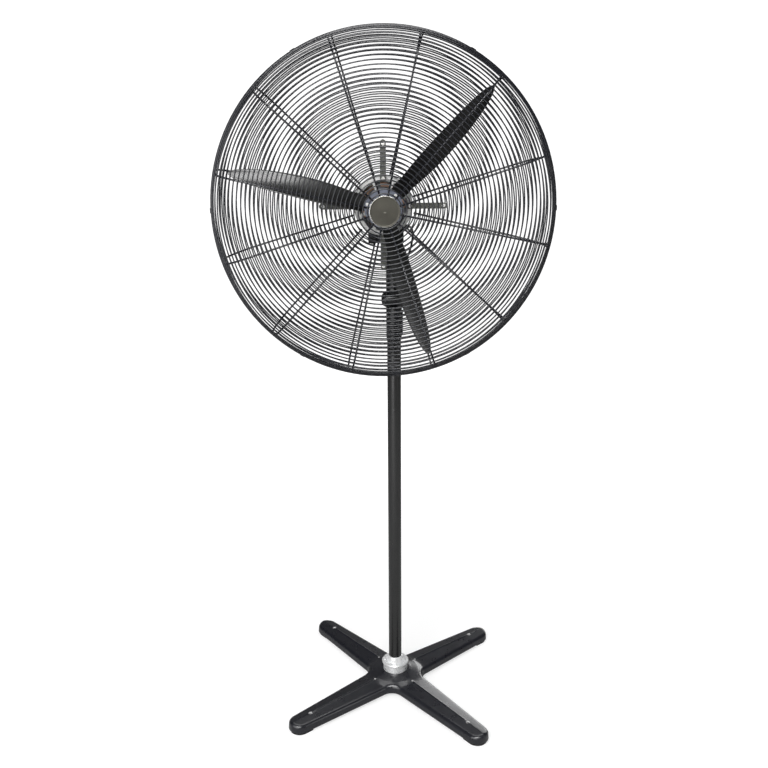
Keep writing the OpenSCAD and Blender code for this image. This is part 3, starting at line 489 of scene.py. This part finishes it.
def piece(name, bm, slot, body, *nodes):
    """A new object from bm that rides on body, is finished as slot says and stands for nodes."""
    mesh = bpy.data.meshes.new(name)
    bmesh.ops.recalc_face_normals(bm, faces=bm.faces)
    bm.to_mesh(mesh)
    bm.free()
    mesh.shade_smooth()
    mesh.materials.append(MATERIALS[slot])
    made = put(name, mesh)
    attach(made, body)
    if nodes:
        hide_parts(*nodes)
    return made


def skin(bm, rows):
    """Quads between neighbouring closed rows of points."""
    made = [[bm.verts.new(p) for p in row] for row in rows]
    for a, b in zip(made, made[1:]):
        for i in range(len(a)):
            j = (i + 1) % len(a)
            bm.faces.new((a[i], a[j], b[j], b[i]))
    return made


def cap_ends(bm, made):
    """One face across the first row and one across the last."""
    bm.faces.new(made[0][::-1])
    bm.faces.new(made[-1])


def weld(bm):
    """Joins points that coincide."""
    bmesh.ops.remove_doubles(bm, verts=bm.verts, dist=WELD_REACH)
    bmesh.ops.dissolve_degenerate(bm, edges=bm.edges, dist=WELD_REACH)


def spin(profile, x, y, sides):
    """Rows of points that turn a (radius, height) profile about the upright line through x, y."""
    turns = [2 * math.pi * i / sides for i in range(sides)]
    return [[(x + r * math.cos(a), y + r * math.sin(a), z) for a in turns] for r, z in profile]


# ---------- base ----------

LEG_END_S = 334 * MM
LEG_END_R = 31 * MM
LEG_INNER_HALF = 51 * MM
LEG_TAPER = (LEG_INNER_HALF - LEG_END_R) / LEG_END_S
LEG_SLANT = math.hypot(1, LEG_TAPER)
NOTCH_R = 34 * MM
NOTCH_MID = math.radians(225)
DOME_FOOT_R = 66 * MM
DOME = [(0, 46), (38, 46), (46, 44), (58, 41.5), (66, 39.5), (74, 36), (80, 31.5), (86, 25), (100, 0)]
DOME_RADII = [66, 64, 62, 60, 57, 52, 46, 40, 30, 18.1]
RIDGE_Z = 42 * MM
RIDGE_FALL = 11 / 370
ROOF_FALL = 5 / 31
RIDGE_SOFT = 1.2 * MM
ROOF_SOFT = 7 * MM
UNDER_Z = 14 * MM
UNDER_FALL = 8 / 370
BEAD_TALL = 1.3 * MM
BEAD_HALF = 2.2 * MM
BEAD_FROM, BEAD_TO, BEAD_FADE = 80 * MM, 292 * MM, 6 * MM
WALL = 6 * MM
DRAFT = 1.0 * MM
TOP_CORNER = 8.0 * MM
FOOT_CORNER = 1.5 * MM
HOLE_R, SINK_R, SINK_DEEP = 4.5 * MM, 5.3 * MM, 0.8 * MM
BOSS_R, BOSS_SOFT, BOSS_TOP = 9.0 * MM, 0.8 * MM, 12 * MM


def smooth_max(a, b, soft):
    h = max(soft - abs(a - b), 0.0) / soft
    return max(a, b) + h * h * soft / 4


def along(points, x):
    """Linear interpolation through (x, y) points."""
    for (x0, y0), (x1, y1) in zip(points, points[1:]):
        if x <= x1:
            return y0 + (y1 - y0) * (x - x0) / (x1 - x0)
    return points[-1][1]


def base_top(x, y):
    """Height of the casting's upper side: four roofs with soft ridges, and a dome in the middle."""
    height = along(DOME, math.hypot(x, y) / MM) * MM
    for turn in LEG_TURNS:
        s = x * math.cos(turn) + y * math.sin(turn)
        t = y * math.cos(turn) - x * math.sin(turn)
        if s > -20 * MM:
            fall = s * RIDGE_FALL + math.hypot(t, RIDGE_SOFT) * ROOF_FALL
            height = smooth_max(height, RIDGE_Z - fall + base_bead(s, t), ROOF_SOFT)
    return height


def base_bead(s, t):
    """A thin raised line along the ridge of a leg, fading out at both ends."""
    starts = min(max((s - BEAD_FROM) / BEAD_FADE, 0.0), 1.0)
    stops = min(max((BEAD_TO - s) / BEAD_FADE, 0.0), 1.0)
    return BEAD_TALL * starts * stops * math.exp(-(t / BEAD_HALF) ** 4)


def base_under(x, y):
    """Height of the casting's lower edge."""
    return UNDER_Z - math.hypot(x, y) * UNDER_FALL


def notch_samples(steps=14):
    """From the middle of the notch between two legs to where the leg's straight side starts."""
    c = (LEG_INNER_HALF + NOTCH_R * LEG_SLANT) / (1 + LEG_TAPER)
    notch_end = math.pi + math.atan2(1, LEG_TAPER)
    out = []
    for i in range(steps + 1):
        u = i / steps
        a = NOTCH_MID + (notch_end - NOTCH_MID) * u
        theta = math.pi / 4 * (1 - u)
        out.append(((c + NOTCH_R * math.cos(a), c + NOTCH_R * math.sin(a)), (math.cos(a), math.sin(a)),
                    (DOME_FOOT_R * math.cos(theta), DOME_FOOT_R * math.sin(theta))))
    return out


def side_samples(start_s, steps=40):
    """Along the leg's straight side."""
    out = []
    for i in range(1, steps + 1):
        u = i / steps
        s = start_s + (LEG_END_S - start_s) * u
        ridge = DOME_FOOT_R + (LEG_END_S - DOME_FOOT_R) * u
        out.append(((s, LEG_INNER_HALF - LEG_TAPER * s), (-LEG_TAPER / LEG_SLANT, -1 / LEG_SLANT),
                    (ridge, 0.0)))
    return out


def tip_samples(steps=16):
    """Round the leg's end, to its middle."""
    out = []
    for i in range(1, steps + 1):
        a = math.atan2(1, LEG_TAPER) * (1 - i / steps)
        out.append(((LEG_END_S + LEG_END_R * math.cos(a), LEG_END_R * math.sin(a)),
                    (-math.cos(a), -math.sin(a)), (LEG_END_S, 0.0)))
    return out


def base_loop():
    """The whole outline, once round, as (outline point, inward direction, ridge point) samples."""
    notch = notch_samples()
    half = notch + side_samples(notch[-1][0][0]) + tip_samples()
    mirrored = [tuple((x, -y) for x, y in sample) for sample in half]
    loop = []
    for turn in LEG_TURNS:
        c, s = math.cos(turn), math.sin(turn)
        for sample in mirrored[1:] + half[-2::-1]:
            loop.append(tuple(Vector((x * c - y * s, x * s + y * c)) for x, y in sample))
    return loop


def base_section(point, inward, ridge):
    """One cut through the casting's edge, from the ridge's underside round to the ridge."""
    floor_z = base_under(*point)
    rows = [(*ridge, base_under(*ridge)), (*(point + inward * WALL), floor_z)]
    for a in [math.radians(d) for d in (0, 30, 60, 90)]:
        inset = FOOT_CORNER * (1 - math.sin(a))
        rows.append((*(point + inward * inset), floor_z + FOOT_CORNER * (1 - math.cos(a))))
    side_top = base_top(*(point + inward * DRAFT)) - TOP_CORNER
    rows.append((*(point + inward * DRAFT * 0.5), (floor_z + FOOT_CORNER + side_top) / 2))
    for a in [math.radians(d) for d in range(0, 91, 15)]:
        p = point + inward * (DRAFT + TOP_CORNER * (1 - math.cos(a)))
        rows.append((*p, base_top(*p) - TOP_CORNER * (1 - math.sin(a))))
    rim = point + inward * (DRAFT + TOP_CORNER)
    for u in roof_places((rim - ridge).length):
        p = rim.lerp(ridge, u)
        rows.append((*p, base_top(*p)))
    return rows


def roof_places(span, steps=7):
    """Places between rim (0) and ridge (1). Half of them are packed into the soft band at the ridge."""
    near = ROOF_SOFT / span
    return ([(1 - near) * i / steps for i in range(1, steps + 1)]
            + [1 - near * k / steps for k in range(steps - 1, -1, -1)])


def base_middle(bm, loop):
    """The dome round the pole, and the flat underside below it."""
    foot = sorted({(round(r.x, 7), round(r.y, 7)) for _, _, r in loop
                   if abs(r.length - DOME_FOOT_R) < 1e-6}, key=lambda q: math.atan2(q[1], q[0]))
    rings = [(r, base_top) for r in DOME_RADII]
    rings += [(r, base_under) for r in (DOME_RADII[-1], DOME_RADII[0])]
    rows = []
    for r, height in rings:
        ring = [Vector(q) * (r * MM / DOME_FOOT_R) for q in foot]
        rows.append([(*q, height(*q)) for q in ring])
    skin(bm, rows)


def drill(obj, places):
    """Cuts round holes with a small countersink at the top, at (x, y) places."""
    beyond = 10 * MM
    bm = bmesh.new()
    for x, y in places:
        top = base_top(x, y)
        profile = [(HOLE_R, -beyond), (HOLE_R, top - SINK_DEEP), (SINK_R, top), (SINK_R, top + beyond)]
        cap_ends(bm, skin(bm, spin(profile, x, y, 32)))
    bmesh.ops.recalc_face_normals(bm, faces=bm.faces)
    mesh = bpy.data.meshes.new("drill")
    bm.to_mesh(mesh)
    bm.free()
    cutter = put("drill", mesh)
    cut = obj.modifiers.new("holes", "BOOLEAN")
    cut.operation = "DIFFERENCE"
    cut.solver = "EXACT"
    cut.object = cutter
    apply_modifiers(obj)
    bpy.data.objects.remove(cutter)


def apply_modifiers(obj):
    """Bakes obj's modifiers into its mesh."""
    graph = bpy.context.evaluated_depsgraph_get()
    graph.update()
    baked = bpy.data.meshes.new_from_object(obj.evaluated_get(graph))
    obj.modifiers.clear()
    old = obj.data
    obj.data = baked
    bpy.data.meshes.remove(old)


def make_base():
    loop = base_loop()
    bm = bmesh.new()
    columns = [base_section(*sample) for sample in loop]
    skin(bm, [list(row) for row in zip(*columns)])
    base_middle(bm, loop)
    weld(bm)
    base = piece("base_casting", bm, "base_enamel", "stand", "base_cross")
    holes = [(HOLD_DOWN_R * math.cos(turn), HOLD_DOWN_R * math.sin(turn)) for turn in LEG_TURNS]
    drill(base, holes)
    base.data.set_sharp_from_angle(angle=math.radians(50))
    make_bosses(holes)


def make_bosses(holes):
    """Short tubes under the hold-down holes, from the floor up into the legs."""
    profile = [(HOLE_R, 0.0), (BOSS_R - BOSS_SOFT, 0.0), (BOSS_R, BOSS_SOFT), (BOSS_R, BOSS_TOP),
               (HOLE_R, BOSS_TOP), (HOLE_R, 0.0)]
    bm = bmesh.new()
    for x, y in holes:
        skin(bm, spin(profile, x, y, 40))
    weld(bm)
    bosses = piece("base_bosses", bm, "base_enamel", "stand", "base_cross")
    bosses.data.set_sharp_from_angle(angle=math.radians(50))


# ---------- blades ----------

BLADE_ROOT_R = 22 * MM
BLADE_FREE_R = 50 * MM
BLADE_TIP_R = 372 * MM
BLADE_FREE_SPAN = BLADE_TIP_R - BLADE_FREE_R
BLADE_THICK = 2 * MM
BLADE_PLANE_Y = -116.95 * MM
BLADE_ANGLES = (47, 167, 287)
ROOT_CHORD, CHORD_SWELL = 34, 23.5
LEAN = 5 * MM
ROOT_PITCH, PITCH_LOSS = 38, 22
CAMBER = 0.045


def blade_chord(r):
    if r < BLADE_FREE_R:
        return ROOT_CHORD * MM
    u = min((r - BLADE_FREE_R) / BLADE_FREE_SPAN, 0.996)
    return (ROOT_CHORD + CHORD_SWELL * math.sin(math.pi * u ** 0.7)) * math.sqrt(1 - u ** 9) * MM


def blade_lean(r):
    """How far the middle of the chord lies ahead of the line from the hub to the tip."""
    if r < BLADE_FREE_R:
        return 0.0
    return LEAN * math.sin(math.pi * (r - BLADE_FREE_R) / BLADE_FREE_SPAN)


def blade_pitch(r):
    """The blade leaves its flat root over a short twist, then loses pitch towards the tip."""
    twist_from, twist_long = BLADE_FREE_R - 2 * MM, 30 * MM
    if r < twist_from:
        return 0.0
    u = (r - BLADE_FREE_R) / BLADE_FREE_SPAN
    return math.radians(min(1.0, (r - twist_from) / twist_long) * (ROOT_PITCH - PITCH_LOSS * u))


def blade_camber(r):
    """How far the middle of the chord is bowed back. It grows over the first 40 mm."""
    if r < BLADE_FREE_R:
        return 0.0
    return CAMBER * blade_chord(r) * min(1.0, (r - BLADE_FREE_R) / (40 * MM))


def blade_point(r, t, side):
    """A point of the blade that lies along local +X, with local +Z towards the motor."""
    a = blade_pitch(r)
    x = t * blade_chord(r) + blade_lean(r)
    half_thick = BLADE_THICK / 2 * math.sqrt(1 - min(abs(2 * t), 1.0) ** 10)
    z = blade_camber(r) * (1 - 4 * t * t) + side * half_thick
    return r, x * math.cos(a) - z * math.sin(a), x * math.sin(a) + z * math.cos(a)


def on_fan(angle, p):
    """Local (radius, sideways, back) at an angle from +X seen from the front, to the row frame."""
    a = math.radians(angle)
    x, y, z = p
    return Vector((FAN_AXIS.x + x * math.cos(a) + y * math.sin(a), BLADE_PLANE_Y + z,
                   FAN_AXIS.z + x * math.sin(a) - y * math.cos(a)))


def make_blades():
    bm = bmesh.new()
    stations, steps = 72, 14
    across = [-0.5 * math.cos(math.pi * j / steps) for j in range(steps + 1)]
    for angle in BLADE_ANGLES:
        rows = []
        for i in range(stations + 1):
            r = BLADE_ROOT_R + (BLADE_TIP_R - BLADE_ROOT_R) * (1 - (1 - i / stations) ** 1.3)
            front = [blade_point(r, t, -1) for t in across]
            back = [blade_point(r, t, 1) for t in across[-2:0:-1]]
            rows.append([on_fan(angle, p) for p in front + back])
        cap_ends(bm, skin(bm, rows))
    weld(bm)
    blades = piece("blades", bm, "blade_paint", "rotor", "fan_blades")
    blades.data.set_sharp_from_angle(angle=math.radians(60))


make_camera()
make_world()
make_lights()
make_floor()
dress_cad_nodes()
smooth_wires()
make_base()
make_blades()

bpy.context.scene.view_settings.view_transform = "Standard"
